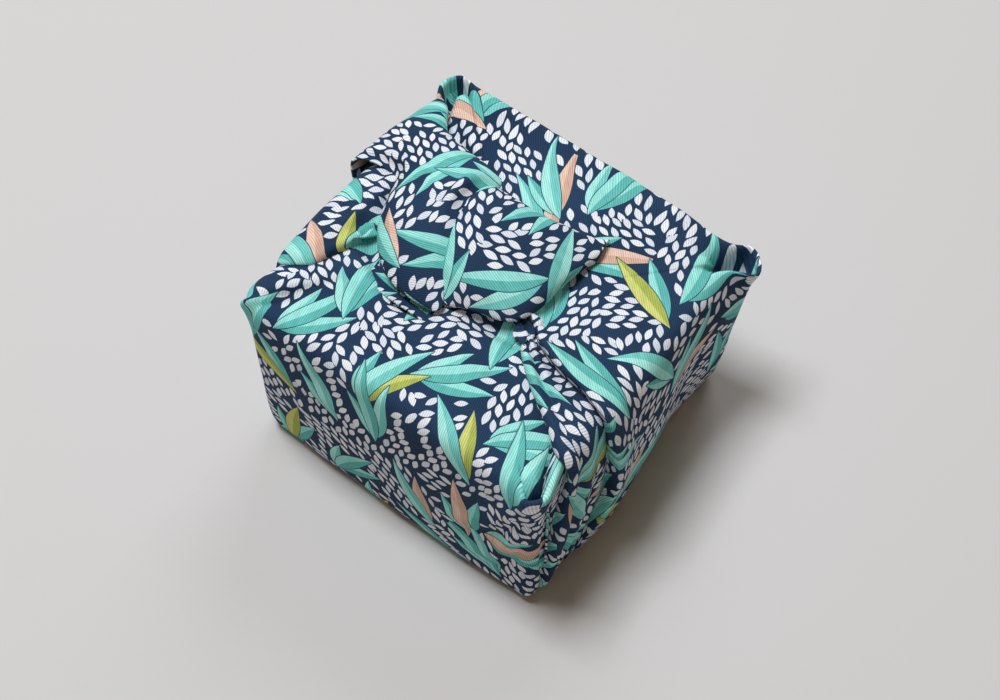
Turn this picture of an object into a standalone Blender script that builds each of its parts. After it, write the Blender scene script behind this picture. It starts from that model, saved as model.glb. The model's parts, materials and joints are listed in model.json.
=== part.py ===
"""Furoshiki wrap: one hemmed square cloth folded round a low square box and knotted on top.

The cloth is one sheet. It runs flat under the box, up the four sides and over the top,
where its folds gather into two strands. The strands cross in a broad knot of two lobes.
Lengths in the tables are millimetres. X runs along the strands, Y across them, Z is up.
"""
import math
import bpy
from mathutils import Matrix, Vector

MM = 0.001
NAME = "furoshiki_wrap"

# Driving sizes
CLOTH_THICKNESS = 1.4
HALF_X = 61.5
HALF_Y = 60.5
BOX_TOP = 75.0
CORNER_RADIUS = 7.0
SHARPEST_CORNER = 3.5
NECK_CENTRE = (3.0, 1.0)
NECK_RADIUS = 12.0
NECK_HEIGHT = 76.6
BASE_INSET = 10.0

# The four faces, in order round the box: direction along the face and direction outward
FACES = (
    ((1.0, 0.0), (0.0, -1.0)),
    ((0.0, 1.0), (1.0, 0.0)),
    ((-1.0, 0.0), (0.0, 1.0)),
    ((0.0, -1.0), (-1.0, 0.0)),
)

# Levels of the cloth from the base edge up the sides: height, inset from the top outline
SIDE_LEVELS = (
    (0.7, 10.0),
    (0.7, 5.6),
    (2.6, 3.2),
    (7.0, 2.4),
    (16.0, 1.4),
    (28.0, 0.6),
    (40.0, 0.0),
    (52.0, 0.0),
    (62.0, 0.2),
)

# The top edge, where the corners are pulled into small ears. Each row is one corner's
# edge from the shoulder to the lip: height, inset. "plain" is the edge between ears.
EDGE_STEPS = ("shoulder", "rim", "fold", "pit_out", "pit_in", "lip")
EDGE_SHAPES = {
    "plain": ((69.0, 0.4), (72.8, 1.4), (74.6, 3.4), (75.0, 5.8), (75.1, 8.2), (75.2, 10.6)),
    "near": ((68.5, -0.6), (73.6, -0.4), (74.8, 1.4), (66.6, 3.0), (66.2, 4.8), (74.6, 6.8)),
    "right": ((66.0, -2.4), (73.6, -6.6), (75.0, -4.4), (66.6, 0.8), (66.0, 4.0), (74.6, 7.6)),
    "far": ((67.0, -2.4), (75.0, -5.6), (76.6, -3.4), (70.2, 0.0), (70.0, 2.8), (75.4, 6.0)),
    "left": ((69.0, -0.8), (74.6, -2.6), (76.8, -0.8), (76.4, 2.4), (76.0, 5.4), (75.6, 8.6)),
}
# Where each ear sits round the outline: start, full from, full to, end
EAR_SPANS = {
    "near": (3.15, 3.9, 4.8, 5.2),
    "right": (6.7, 7.7, 8.3, 9.1),
    "far": (11.2, 11.8, 12.3, 12.9),
    "left": (15.2, 15.9, 16.1, 16.8),
}

# Folds round the box. Each row is one line of cloth from the base to the neck: face, its
# place along the face at the base, the middle and the top edge (-1 to 1 is the flat of the
# face, 2 is the next corner), its angle at the neck, its sideways bow over the top, then
# how far it stands out at the base, the middle, the edge, half way in and at the neck.
FOLDS = (
    ("left_corner", 0, -2.0, -2.0, -2.0, 212.0, 3.0, 0.0, 0.0, 0.0, 0.0, 0.0),
    ("a_start", 0, -1.0, -1.0, -1.0, 220.0, 0.0, 0.0, 0.0, 0.0, 0.0, 0.0),
    ("a_left", 0, -0.5, -0.5, -0.5, 238.0, 0.0, 0.0, 1.2, 0.3, 0.2, 0.0),
    ("a_middle", 0, 0.0, 0.0, 0.0, 256.0, 0.0, 0.0, 1.6, 0.4, 0.4, 0.6),
    ("a_right", 0, 0.5, 0.5, 0.5, 276.0, 0.0, 0.0, 1.2, 0.3, 0.2, 0.4),
    ("a_end", 0, 1.0, 1.0, 1.0, 296.0, 0.0, 0.0, 0.2, 0.0, 0.0, 0.0),
    ("near_corner", 0, 2.0, 2.0, 2.0, 304.0, 0.0, 0.0, -0.6, 0.0, 0.0, 0.0),
    ("a_wrapped", 1, -1.1, -1.05, -1.0, 310.0, 0.0, 0.0, 0.0, 0.0, 0.0, 0.0),
    ("d_under", 1, -0.98, -0.84, -0.72, 319.0, 2.0, 0.0, 0.0, 0.0, 0.0, 0.2),
    ("d_nose", 1, -0.95, -0.87, -0.77, 322.0, 2.0, 0.8, 2.0, 2.2, 2.4, 0.6),
    ("d_over", 1, -0.91, -0.83, -0.73, 326.0, 2.0, 1.2, 3.4, 3.8, 3.8, 1.0),
    ("d_trough", 1, -0.84, -0.74, -0.65, 331.0, 1.0, 0.6, 1.4, 2.2, 2.2, 0.9),
    ("d_ridge", 1, -0.74, -0.62, -0.58, 335.0, 0.5, 1.4, 3.6, 3.2, 2.8, 1.0),
    ("d_shade", 1, -0.62, -0.48, -0.48, 338.0, 0.0, 0.2, 0.8, 1.6, 1.6, 0.9),
    ("c_under", 1, -0.31, -0.30, -0.38, 341.0, 0.0, 1.0, 3.4, 1.6, 1.4, 1.0),
    ("c_nose", 1, -0.27, -0.34, -0.43, 344.0, 0.0, 1.8, 5.6, 3.8, 3.4, 1.4),
    ("c_over", 1, -0.22, -0.29, -0.38, 349.0, 0.0, 2.2, 6.8, 5.0, 4.2, 1.8),
    ("c_drape", 1, 0.1, 0.1, 0.0, 356.0, 0.0, 0.6, 3.8, 2.8, 2.6, 1.6),
    ("c_drawn", 1, 0.55, 0.55, 0.5, 364.0, 0.0, -0.4, 0.0, 0.6, 0.8, 1.6),
    ("c_end", 1, 1.0, 1.0, 1.0, 376.0, 0.0, 0.0, -0.4, 0.0, 0.0, 0.6),
    ("right_corner", 1, 2.0, 2.0, 2.0, 382.0, 0.0, 0.0, -0.3, 0.0, 0.0, 0.4),
    ("c_start", 2, -1.0, -1.0, -1.0, 388.0, 0.0, 0.0, 0.0, 0.0, 0.0, 0.4),
    ("c_right", 2, -0.5, -0.5, -0.5, 408.0, 0.0, 0.0, 1.0, 0.6, 0.4, 0.8),
    ("c_middle", 2, 0.0, 0.0, 0.0, 434.0, 0.0, 0.0, 1.4, 1.2, 0.8, 1.4),
    ("c_left", 2, 0.5, 0.5, 0.5, 460.0, 0.0, 0.0, 1.0, 1.0, 1.0, 1.8),
    ("c_far", 2, 1.0, 1.0, 1.0, 480.0, 0.0, 0.0, 0.4, 0.4, 0.8, 1.8),
    ("far_corner", 2, 2.0, 2.0, 2.0, 488.0, 0.0, 0.0, 0.0, 0.0, 0.4, 1.6),
    ("b_start", 3, -1.0, -1.0, -1.0, 494.0, 0.0, 0.0, 0.4, 0.6, 0.6, 1.6),
    ("b_far", 3, -0.5, -0.5, -0.5, 500.0, 0.0, 0.0, 1.2, 2.4, 0.8, 0.4),
    ("b_middle", 3, -0.1, -0.1, -0.1, 506.0, 0.0, 0.0, 1.6, 4.6, 1.2, 0.4),
    ("b_roll", 3, 0.3, 0.3, 0.28, 514.0, 5.0, 0.4, 2.4, 5.0, 2.6, 0.6),
    ("b_over", 3, 0.78, 0.74, 0.68, 524.0, 10.0, 0.6, 2.8, 4.0, 3.4, 0.8),
    ("b_nose", 3, 0.82, 0.8, 0.74, 529.0, 11.0, 0.4, 1.6, 2.4, 2.2, 0.4),
    ("b_under", 3, 0.86, 0.78, 0.71, 535.0, 11.0, 0.0, 0.0, 0.0, 0.2, 0.2),
    ("b_end", 3, 1.0, 1.0, 1.0, 552.0, 5.0, 0.0, 0.0, 0.0, 0.0, 0.0),
)
# Columns between each fold and the next
FOLD_STEPS = (2, 2, 2, 2, 2, 3, 2, 2, 1, 1, 2, 2, 1, 2, 1, 1, 2, 2, 2, 3, 3, 2, 2, 2, 2,
              3, 3, 2, 2, 2, 2, 1, 1, 2, 2)
# Rows from the lip of the top edge in to the neck
TOP_STEPS = (0.1, 0.22, 0.35, 0.48, 0.62, 0.76, 0.89, 1.0)

# A folded band is a row of cross sections along its run: near edge, far edge, how high its
# crown stands, its lean outward from straight up, and how deep each edge turns under.
LEFT_LOBE = (
    (-62.4, 8.0, 46.0, -62.4, 42.0, 46.0, 0.4, 90.0, 0.0, 0.0),
    (-66.5, 8.0, 57.0, -66.4, 44.0, 57.0, 1.6, 88.0, 0.0, 0.0),
    (-70.5, 9.0, 67.0, -69.0, 46.0, 67.0, 2.2, 80.0, 1.2, 1.0),
    (-73.0, 11.0, 76.4, -67.6, 49.0, 76.6, 2.6, 45.0, 2.5, 2.2),
    (-66.0, 13.5, 79.2, -58.0, 42.0, 79.0, 3.2, 15.0, 4.0, 3.0),
    (-58.5, 15.5, 81.0, -50.0, 35.5, 81.2, 3.4, 0.0, 4.0, 3.0),
    (-52.0, 13.5, 82.4, -42.0, 33.0, 83.6, 3.8, 0.0, 3.0, 3.0),
    (-48.5, 3.0, 82.4, -35.0, 31.5, 85.2, 4.4, 0.0, 3.0, 3.0),
    (-44.5, -9.0, 81.2, -29.0, 30.0, 86.6, 5.4, 0.0, 4.0, 3.0),
    (-37.5, -18.0, 80.2, -24.0, 28.5, 87.4, 6.2, 0.0, 3.4, 3.0),
    (-27.0, -22.5, 79.8, -21.0, 27.0, 87.6, 6.6, 0.0, 2.6, 1.6),
    (-16.0, -22.0, 80.6, -18.4, 25.8, 87.2, 6.0, 0.0, 1.4, 0.6),
    (-10.5, -20.0, 81.0, -16.4, 25.0, 85.8, 4.4, 0.0, 0.4, 0.0),
    (-11.0, -18.0, 79.6, -17.4, 23.0, 83.4, 2.6, 0.0, 0.0, 0.0),
    (-17.0, -15.0, 80.4, -23.0, 19.5, 82.8, 2.2, 0.0, 0.0, 0.0),
    (-27.0, -11.0, 80.8, -31.0, 17.0, 82.8, 1.8, 0.0, 0.0, 0.0),
    (-37.0, -7.0, 80.8, -40.0, 15.0, 83.0, 1.0, 0.0, 0.0, 0.0),
)
RIGHT_LOBE = (
    (-38.0, -3.0, 81.2, -40.0, 12.0, 83.0, 0.4, 0.0, 0.0, 0.0),
    (-29.0, -6.0, 79.4, -32.0, 13.0, 80.4, 0.4, 0.0, 0.0, 0.0),
    (-19.0, -10.0, 78.8, -24.0, 17.0, 80.0, 0.6, 0.0, 0.0, 0.0),
    (-13.0, -14.0, 78.4, -20.0, 20.5, 80.4, 1.0, 0.0, 0.3, 0.3),
    (-6.5, -18.2, 78.8, -15.5, 24.0, 82.0, 2.4, 0.0, 1.4, 1.2),
    (1.0, -17.5, 79.6, -7.0, 22.6, 83.6, 4.4, 0.0, 2.8, 2.6),
    (10.0, -15.5, 80.4, 0.5, 23.6, 83.8, 5.0, 0.0, 4.0, 4.0),
    (19.0, -13.5, 80.8, 7.0, 26.4, 82.8, 4.8, 0.0, 4.0, 4.4),
    (23.0, -5.0, 80.8, 11.6, 29.2, 81.6, 4.2, 0.0, 4.0, 4.4),
    (24.5, 5.0, 80.6, 15.2, 31.4, 81.0, 3.2, 0.0, 3.0, 3.0),
    (24.2, 14.0, 80.4, 17.8, 33.0, 80.4, 2.2, 0.0, 2.4, 2.4),
    (23.2, 22.0, 80.2, 19.6, 34.6, 80.0, 1.4, 0.0, 1.8, 1.8),
    (22.4, 28.0, 80.0, 20.6, 36.0, 79.8, 0.8, 0.0, 0.9, 0.9),
)
# The spare cloth at each corner is folded flat inside the strand side: face it lies on,
# which end of that face, widest reach along it, lowest and highest point.
CORNER_FLAPS = (
    ("near_flap", 1, -1.0, 44.0, 6.0, 66.0),
    ("right_flap", 1, 1.0, 42.0, 6.0, 60.0),
    ("far_flap", 3, -1.0, 43.0, 6.0, 64.0),
    ("left_flap", 3, 1.0, 45.0, 6.0, 66.0),
)
FLAP_ROWS = 5
FLAP_GAP = 2.2
# The corner of the near-left panel ends in a tongue lying flat under the knot: its place
# across the top, its left and right edges and its height.
TONGUE = (
    (-28.0, -34.0, 26.0, 75.3),
    (-22.0, -36.0, 28.0, 73.2),
    (-14.0, -38.0, 30.0, 72.4),
    (4.0, -36.0, 32.0, 72.2),
    (24.0, -29.0, 30.0, 72.2),
    (42.0, -18.0, 22.0, 72.2),
    (54.0, -8.0, 12.0, 72.2),
)
BAND_ROWS = 2
BAND_COLUMNS = 9
TUCK_DROP = 1.9


def blend(low, high, share):
    """A value part of the way between two others."""
    return low + (high - low) * share


def ease(share):
    """A soft start and a soft stop between 0 and 1."""
    share = min(1.0, max(0.0, share))
    return share * share * (3.0 - 2.0 * share)


def fold_columns(steps):
    """Lines of cloth round the box, with those between the named folds eased in."""
    columns = []
    count = len(FOLDS)
    for index, fold in enumerate(FOLDS):
        following = FOLDS[(index + 1) % count]
        turn = 16.0 if index == count - 1 else 0.0
        spin = 360.0 if index == count - 1 else 0.0
        here = [4.0 * fold[1] + 2.0 + place for place in fold[2:5]]
        there = [4.0 * following[1] + 2.0 + turn + place for place in following[2:5]]
        for step in range(steps[index]):
            share = step / steps[index]
            soft = ease(share)
            places = [blend(a, b, share) for a, b in zip(here, there)]
            angle = blend(fold[5], following[5] + spin, share)
            bow = blend(fold[6], following[6], share)
            stands = [blend(a, b, soft) for a, b in zip(fold[7:], following[7:])]
            columns.append((places, math.radians(angle), bow, stands))
    return columns


def outline_point(place, inset, radius):
    """A point on the rounded outline of the box and the way out from it."""
    face = int(place // 4.0) % 4
    along = place - 4.0 * (place // 4.0) - 2.0
    run, out = FACES[face]
    drawn = max(0.0, inset - radius + SHARPEST_CORNER)
    half_run = (HALF_X if face % 2 == 0 else HALF_Y) - radius - drawn
    half_out = (HALF_Y if face % 2 == 0 else HALF_X) - radius - drawn
    side = math.copysign(1.0, along)
    turn = math.radians(45.0) * max(0.0, abs(along) - 1.0) * side
    shift = half_run * min(1.0, abs(along)) * side
    way = [run[k] * math.sin(turn) + out[k] * math.cos(turn) for k in range(2)]
    reach = radius + drawn - inset
    point = [run[k] * shift + out[k] * half_out + way[k] * reach for k in range(2)]
    return point, way


def ear_weight(name, place):
    """How strongly one corner's ear shapes the top edge here."""
    start, full, fade, end = EAR_SPANS[name]
    turned = place + 16.0 if place < 4.0 and name == "left" else place
    return ease((turned - start) / (full - start)) * ease((end - turned) / (end - fade))


def edge_shape(place, step):
    """Height and inset of the top edge at one step, and how plain the edge is."""
    height, inset = EDGE_SHAPES["plain"][step]
    plain = 1.0
    for name in EAR_SPANS:
        weight = ear_weight(name, place)
        height = blend(height, EDGE_SHAPES[name][step][0], weight)
        inset = blend(inset, EDGE_SHAPES[name][step][1], weight)
        plain = min(plain, 1.0 - weight)
    return height, inset, plain


def side_point(column, level):
    """A point of the cloth at one level of the sides."""
    places, _, _, stands = column
    height, inset = level
    low = ease(height / 40.0)
    high = ease((height - 40.0) / 30.0)
    place = blend(blend(places[0], places[1], low), places[2], high)
    stand = blend(blend(stands[0], stands[1], low), stands[2], high)
    if height < 1.0:
        stand = 0.0
    point, way = outline_point(place, inset, CORNER_RADIUS)
    return Vector((point[0] + way[0] * stand, point[1] + way[1] * stand, height))


def edge_point(column, step):
    """A point of the cloth on the turn of the top edge."""
    places, _, _, stands = column
    height, inset, plain = edge_shape(places[2], step)
    point, way = outline_point(places[2], inset, CORNER_RADIUS)
    tilt = math.radians(90.0) * min(1.0, (step + 0.4) / 3.0)
    stand = stands[2] * plain
    outward = stand * math.cos(tilt)
    rise = stand * math.sin(tilt)
    return Vector((point[0] + way[0] * outward, point[1] + way[1] * outward, height + rise))


def top_point(column, share):
    """A point of the cloth on its way from the top edge in to the neck."""
    places, angle, bow, stands = column
    lip = edge_point(column, len(EDGE_STEPS) - 1)
    plain = edge_shape(places[2], len(EDGE_STEPS) - 1)[2]
    neck = Vector((NECK_CENTRE[0] + NECK_RADIUS * math.cos(angle),
                   NECK_CENTRE[1] + NECK_RADIUS * math.sin(angle), NECK_HEIGHT + stands[4]))
    across = Vector((lip.y - neck.y, neck.x - lip.x, 0.0)).normalized()
    point = lip.lerp(neck, share) + across * bow * math.sin(math.pi * share)
    middle = stands[3] - blend(stands[2] * plain, stands[4], 0.5)
    point.z += middle * math.sin(math.pi * share)
    return point


def wrap_rows(steps, levels, tops):
    """All the points of the wrapped sheet, row by row from the base to the neck."""
    columns = fold_columns(steps)
    rows = [[side_point(column, level) for column in columns] for level in levels]
    for step in range(len(EDGE_STEPS)):
        rows.append([edge_point(column, step) for column in columns])
    for share in tops:
        rows.append([top_point(column, share) for column in columns])
    return rows


def turned_edge(corner, out, up, tuck):
    """Two points past the edge of a band: flat without a tuck, turned right under with one."""
    curl = ease(tuck / 2.5)
    turn = math.pi * curl
    first = out * math.cos(turn / 2.0) - up * math.sin(turn / 2.0)
    second = out * math.cos(turn) - up * math.sin(turn)
    bend = corner + first * blend(0.8, TUCK_DROP, curl)
    return [bend, bend + second * blend(0.8, 1.2 + tuck, curl)]


def section_points(section, columns):
    """One cross section of a folded band, from the near turned edge to the far one."""
    near = Vector(section[0:3])
    far = Vector(section[3:6])
    crown, lean, near_tuck, far_tuck = section[6:10]
    up = Vector((-math.sin(math.radians(lean)), 0.0, math.cos(math.radians(lean))))
    across = (far - near).normalized()
    points = turned_edge(near, -across, up, near_tuck)[::-1]
    for index in range(columns + 1):
        share = index / columns
        lift = crown * max(0.0, math.sin(math.pi * share)) ** 0.7
        points.append(near.lerp(far, share) + up * lift)
    return points + turned_edge(far, across, up, far_tuck)


def band_rows(table, rows_between, columns):
    """A folded band run smoothly through its table of cross sections."""
    rows = []
    last = len(table) - 1
    for index in range(last):
        around = [table[max(0, index - 1)], table[index], table[index + 1],
                  table[min(last, index + 2)]]
        for step in range(rows_between):
            t = step / rows_between
            section = [0.5 * (2.0 * b + (c - a) * t + (2.0 * a - 5.0 * b + 4.0 * c - d) * t * t
                              + (3.0 * b - a - 3.0 * c + d) * t ** 3)
                       for a, b, c, d in zip(*around)]
            rows.append(section_points(section, columns))
    rows.append(section_points(table[last], columns))
    return rows


def flap_point(face, end, along, depth, height):
    """A point inside one face: along it from its corner, and in from its cloth."""
    run, out = FACES[face]
    inset = side_inset(height) + depth
    half_run = HALF_X if face % 2 == 0 else HALF_Y
    half_out = HALF_Y if face % 2 == 0 else HALF_X
    shift = end * (half_run - side_inset(height) - along)
    reach = half_out - inset
    return Vector((run[0] * shift + out[0] * reach, run[1] * shift + out[1] * reach, height))


def side_inset(height):
    """How far the side sits in from the top outline at one height."""
    for (low, inset), (high, following) in zip(SIDE_LEVELS[1:], SIDE_LEVELS[2:]):
        if height <= high:
            return blend(inset, following, max(0.0, (height - low) / (high - low)))
    return SIDE_LEVELS[-1][1]


def flap_rows(face, end, widest, low, high):
    """Two layers of spare cloth, folded double and widening upward from the base corner."""
    rows = []
    for index in range(FLAP_ROWS):
        share = index / (FLAP_ROWS - 1)
        height = blend(low, high, share)
        width = blend(6.0, widest, share)
        spots = [(9.0, 0.0), (11.5, FLAP_GAP)]
        spots += [(11.5 + width * part, FLAP_GAP) for part in (0.33, 0.66, 1.0)]
        spots += [(13.0 + width, 1.5 * FLAP_GAP)]
        spots += [(11.5 + width * part, 2.0 * FLAP_GAP) for part in (1.0, 0.66, 0.33, 0.0)]
        spots += [(5.5, 2.6 * FLAP_GAP), (0.2, 3.6 * FLAP_GAP)]
        rows.append([flap_point(face, end, along, depth, height) for along, depth in spots])
    return rows


def tongue_rows(columns):
    """The hidden corner of the near-left panel."""
    rows = []
    for across, left, right, height in TONGUE:
        spots = [blend(left, right, index / columns) for index in range(columns + 1)]
        rows.append([Vector((spot, across, height)) for spot in spots])
    return rows


def grid_faces(row_count, column_count, closed):
    """Quads of a grid of points, joined round when it is closed."""
    spans = column_count if closed else column_count - 1
    faces = []
    for row in range(row_count - 1):
        for column in range(spans):
            beside = (column + 1) % column_count
            here = row * column_count
            above = here + column_count
            faces.append((here + column, here + beside, above + beside, above + column))
    return faces


def grid_object(name, rows, closed, collection):
    """A mesh object from rows of points in millimetres."""
    vertices = [point * MM for row in rows for point in row]
    faces = grid_faces(len(rows), len(rows[0]), closed)
    if closed:
        faces.append(tuple(reversed(range(len(rows[0])))))
    mesh = bpy.data.meshes.new(name)
    mesh.from_pydata([tuple(vertex) for vertex in vertices], [], faces)
    mesh.update()
    built = bpy.data.objects.new(name, mesh)
    collection.objects.link(built)
    return built


def add_thickness(built):
    """Give the sheet the thickness of the cloth, half on each side."""
    solidify = built.modifiers.new("cloth_thickness", "SOLIDIFY")
    solidify.thickness = CLOTH_THICKNESS * MM
    solidify.offset = 0.0
    solidify.use_even_offset = False
    solidify.use_rim = True


def join_to(built, other):
    """Make another folded part of the cloth one with it."""
    other.hide_render = True
    other.hide_viewport = True
    union = built.modifiers.new("join_" + other.name, "BOOLEAN")
    union.operation = "UNION"
    union.solver = "EXACT"
    union.object = other


def cloth_material(name, colour):
    """Plain woven cotton."""
    material = bpy.data.materials.new(name)
    material.use_nodes = True
    shader = material.node_tree.nodes["Principled BSDF"]
    shader.inputs["Base Color"].default_value = colour
    shader.inputs["Roughness"].default_value = 0.85
    return material


def clear_objects():
    """Start from an empty file."""
    for old in list(bpy.data.objects):
        bpy.data.objects.remove(old, do_unlink=True)


def new_collection(name):
    """A collection in the scene."""
    collection = bpy.data.collections.new(name)
    bpy.context.scene.collection.children.link(collection)
    return collection


def centre_on_base(cloth, objects):
    """Put the middle of the finished outline over the origin."""
    evaluated = cloth.evaluated_get(bpy.context.evaluated_depsgraph_get())
    corners = [Vector(corner) for corner in evaluated.bound_box]
    middle = (Vector(map(min, *corners)) + Vector(map(max, *corners))) * 0.5
    shift = Matrix.Translation(Vector((-middle.x, -middle.y, 0.0)))
    for built in objects:
        built.data.transform(shift)
        built.data.update()


def build():
    """The whole wrapped cloth."""
    clear_objects()
    parts = new_collection(NAME)
    helpers = new_collection(NAME + "_folds")
    rows = wrap_rows(FOLD_STEPS, SIDE_LEVELS, TOP_STEPS)
    cloth = grid_object("furoshiki_cloth", rows, True, parts)
    add_thickness(cloth)
    for name, table in (("left_lobe", LEFT_LOBE), ("right_lobe", RIGHT_LOBE)):
        lobe = grid_object(name, band_rows(table, BAND_ROWS, BAND_COLUMNS), False, helpers)
        add_thickness(lobe)
        join_to(cloth, lobe)
    tongue = grid_object("tongue", tongue_rows(4), False, helpers)
    add_thickness(tongue)
    join_to(cloth, tongue)
    for name, face, end, widest, low, high in CORNER_FLAPS:
        flap = grid_object(name, flap_rows(face, end, widest, low, high), False, helpers)
        add_thickness(flap)
        join_to(cloth, flap)
    cloth.data.materials.append(cloth_material("printed_cotton", (0.09, 0.2, 0.28, 1.0)))
    centre_on_base(cloth, list(parts.objects) + list(helpers.objects))


build()
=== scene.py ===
"""Looks of the furoshiki wrap: printed ribbed cotton, folded round a low box and knotted.

The visible cloth is one thin sheet on the folds of its solid. Lengths in the tables are
millimetres, measured as in the solid before it was centred on its base.
"""
import json
import math
import bmesh
import bpy
import numpy as np
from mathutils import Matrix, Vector, noise

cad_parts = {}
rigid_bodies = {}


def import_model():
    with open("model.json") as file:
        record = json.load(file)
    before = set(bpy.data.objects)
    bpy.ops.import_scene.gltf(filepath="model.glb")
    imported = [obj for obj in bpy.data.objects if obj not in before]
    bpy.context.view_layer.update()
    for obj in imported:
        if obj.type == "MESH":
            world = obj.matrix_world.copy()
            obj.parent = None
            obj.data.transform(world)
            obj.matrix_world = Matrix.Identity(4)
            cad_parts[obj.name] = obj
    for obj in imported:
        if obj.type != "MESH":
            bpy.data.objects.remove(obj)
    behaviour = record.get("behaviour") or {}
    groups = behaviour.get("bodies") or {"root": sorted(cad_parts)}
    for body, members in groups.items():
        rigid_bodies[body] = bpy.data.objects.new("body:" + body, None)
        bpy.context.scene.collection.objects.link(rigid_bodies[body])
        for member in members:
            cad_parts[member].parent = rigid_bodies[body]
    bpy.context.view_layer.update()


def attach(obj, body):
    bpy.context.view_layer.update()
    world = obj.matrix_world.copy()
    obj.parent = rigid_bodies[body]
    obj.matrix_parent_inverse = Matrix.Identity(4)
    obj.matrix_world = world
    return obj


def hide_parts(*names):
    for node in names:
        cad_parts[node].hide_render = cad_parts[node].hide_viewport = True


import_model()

MM = 0.001
# Driving sizes: the box, its corners and the neck of cloth under the knot
HALF_X = 61.5
HALF_Y = 60.5
CORNER_RADIUS = 7.0
SHARPEST_CORNER = 3.5
NECK_CENTRE = (3.0, 1.0)
NECK_RADIUS = 12.0
NECK_HEIGHT = 76.6

# The four faces, in order round the box: the way along and the way out, as x + yj. A place
# round the outline counts FACE_SPAN to each face, from its first corner on.
FACES = ((1, -1j), (1j, 1), (-1, 1j), (-1j, -1))
FACE_SPAN = 4.0
ROUND = 16.0

# Levels of the cloth from the base edge up the sides: height, inset from the top outline
SIDE_LEVELS = (
    (0.7, 9), (0.7, 4.6), (2.8, 2.2), (7, 1.2), (16, 0.5), (28, 0.2), (40, 0), (52, 0), (62, 0.2),
)

# The top edge, pulled into small ears at the corners. Each row is one ear's edge, from the
# shoulder through the rim and its pit to the lip: height, inset. "plain" is between ears.
EDGE_STEPS = 6
EDGE_SHAPES = {
    "plain": ((69, 0.4), (72.8, 1.4), (74.6, 3.4), (75, 5.8), (75.1, 8.2), (75.2, 10.6)),
    "near": ((67, -1.6), (72.2, -3.2), (75.4, -2), (70, -0.4), (69.4, 0.8), (75.2, 2.4)),
    "slot": ((66.6, -1.6), (72, -3.2), (76, -2.2), (66, 0.2), (65, 1.2), (75.6, 2.4)),
    "brim": ((69, -0.8), (73.8, -2.2), (76.8, -1), (77.8, 1.6), (77.4, 4.6), (76.6, 8)),
    "right": ((65, -4.4), (71.4, -7.4), (73.4, -6.6), (57, -2.6), (56, 5.4), (75.8, 7.6)),
    "far": ((67, -3), (74.8, -6.8), (78.8, -6), (64, -3.4), (63, -0.8), (78.4, 1.8)),
    "left": ((69, -1.2), (74.6, -4), (77, -4.2), (77.2, -0.4), (76.4, 3.6), (75.6, 8)),
}
# Where each ear sits round the outline: start, full from, full to, end
EAR_SPANS = {
    "near": (3.2, 3.55, 4.5, 4.9), "slot": (4.1, 4.6, 4.9, 5.3), "brim": (8.6, 9.6, 12, 12.6),
    "right": (6.9, 7.25, 8.6, 9.1), "far": (11.5, 12, 13, 13.25),
    "left": (15.5, 15.95, 16.05, 16.4),
}
# How the cloth below each ear flares out to it: start, full from, full to, end, reach
EAR_FLARES = (
    (3.4, 3.9, 4.7, 5.2, 1.2), (6.5, 7.2, 8.5, 9.2, 4.6), (11.5, 12, 12.6, 13.1, 2.6),
    (15.4, 15.9, 16.1, 16.6, 1.6),
)
FLARE_START = 40.0
FLARE_END = 66.0
# Height of a fold's middle, and the rise from there to its edge
MIDDLE_HEIGHT = 40.0
EDGE_RISE = 30.0
# The steps of the edge in which folds turn from standing outward to standing up
TILT_START = 0.4
TILT_STEPS = 3.0

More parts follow.
